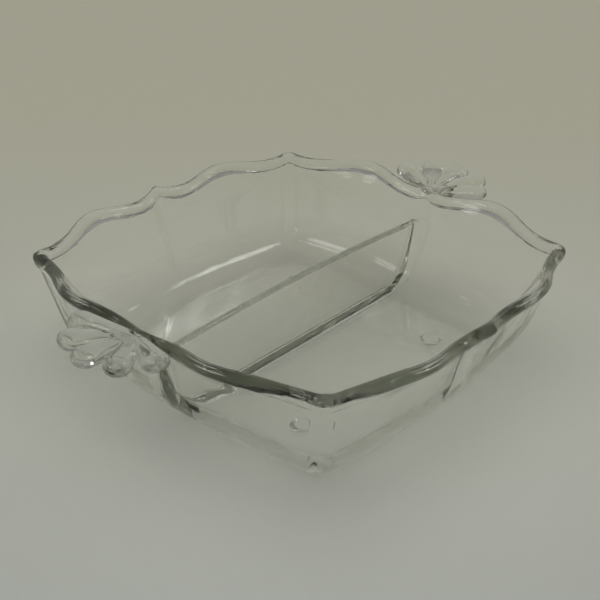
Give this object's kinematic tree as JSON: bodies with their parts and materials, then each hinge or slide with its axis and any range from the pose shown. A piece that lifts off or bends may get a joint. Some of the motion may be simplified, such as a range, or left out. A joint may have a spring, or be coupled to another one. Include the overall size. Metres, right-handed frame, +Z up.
{
  "type": "relish tray",
  "caption": "Square pressed-glass relish tray with bulged sides, a scalloped rolled rim, a divider between two compartments and a fan-shaped handle at each end",
  "frame": {"origin": "middle of the tray on the table, under the divider", "axes": "+X along the divider, from handle to handle; +Y across the divider; +Z up"},
  "size_m": [0.2088, 0.1628, 0.0478],
  "materials": {
    "glass": "clear pressed glass, fire-polished, with a faint grey-green tint"
  },
  "bodies": {
    "root": {"dish": "glass", "divider": "glass", "handle_left": "glass", "handle_right": "glass", "leaf_left": "glass", "leaf_right": "glass", "leaf_front": "glass", "leaf_back": "glass", "foot_front_left": "glass", "foot_front_right": "glass", "foot_back_left": "glass", "foot_back_right": "glass"}
  },
  "joints": []
}
